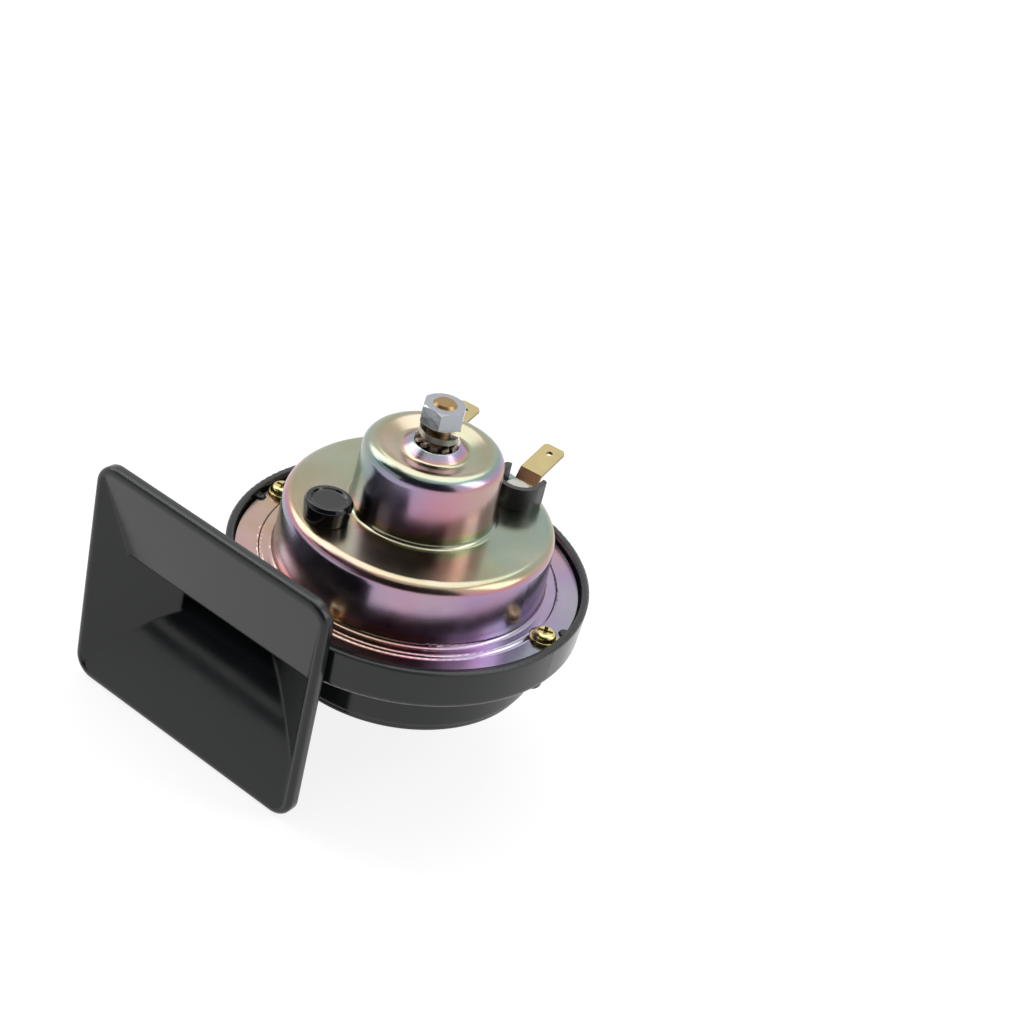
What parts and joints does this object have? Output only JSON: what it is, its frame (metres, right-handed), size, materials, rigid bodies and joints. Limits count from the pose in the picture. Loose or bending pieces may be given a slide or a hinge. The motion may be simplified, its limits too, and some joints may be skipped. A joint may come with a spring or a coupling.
{
  "type": "car horn",
  "caption": "Electric snail horn for a car: a round plated steel can with a mounting stud and blade terminals on a moulded spiral trumpet with a flared rectangular mouth.",
  "frame": {"origin": "centre of the flat bracket seat on top of the can's central boss, on the stud's axis", "axes": "+Z along the mounting stud away from the trumpet; the trumpet's mouth faces -Y; +X to the right of someone who looks into the mouth with the stud up"},
  "size_m": [0.1088, 0.0966, 0.0976],
  "materials": {
    "black_plastic": "satin moulded black",
    "black_rubber": "glossy soft rubber",
    "blade_brass": "stamped brass",
    "bright_zinc": "bright zinc",
    "brown_fibre": "matt",
    "contact_silver": "polished",
    "copper_winding": "enamelled copper",
    "core_steel": "machined",
    "gasket_paper": "matt",
    "natural_nylon": "semi matt",
    "rivet_tin": "tinned, satin",
    "screw_zinc": "yellow zinc, satin",
    "spring_steel": "satin",
    "stud_steel": "yellow zinc, satin",
    "terminal_plastic": "semi matt",
    "washer_zinc": "yellow zinc, satin",
    "yellow_zinc": "yellow passivated zinc plate, iridescent satin"
  },
  "bodies": {
    "root": {"adjuster_nut": "core_steel", "adjuster_plug": "black_rubber", "adjusting_screw": "bright_zinc", "armature": "core_steel", "armature_nut": "bright_zinc", "armature_washer": "bright_zinc", "breaker_bracket": "core_steel", "breaker_lower_spacer": "brown_fibre", "breaker_middle_spacer": "brown_fibre", "breaker_screw": "bright_zinc", "breaker_upper_spacer": "brown_fibre", "can_neck": "yellow_zinc", "coil_bobbin": "natural_nylon", "coil_winding": "copper_winding", "contact_lead": "copper_winding", "diaphragm": "spring_steel", "feed_lead": "copper_winding", "fixed_contact": "contact_silver", "fixed_contact_arm": "spring_steel", "flange_screw_1": "screw_zinc", "flange_screw_2": "screw_zinc", "flange_screw_3": "screw_zinc", "flange_screw_4": "screw_zinc", "inner_insulating_plate": "brown_fibre", "lower_gasket": "gasket_paper", "magnet_core": "core_steel", "mounting_nut": "bright_zinc", "mounting_stud": "stud_steel", "moving_contact": "contact_silver", "moving_contact_arm": "spring_steel", "return_lead": "copper_winding", "scroll_cover": "black_plastic", "spring_washer": "bright_zinc", "steel_can": "yellow_zinc", "terminal_blade_left": "blade_brass", "terminal_blade_right": "blade_brass", "terminal_insulator_left": "terminal_plastic", "terminal_insulator_right": "terminal_plastic", "terminal_rivet_left": "rivet_tin", "terminal_rivet_right": "rivet_tin", "toothed_washer": "washer_zinc", "trumpet_body": "black_plastic", "upper_gasket": "gasket_paper"}
  },
  "joints": []
}
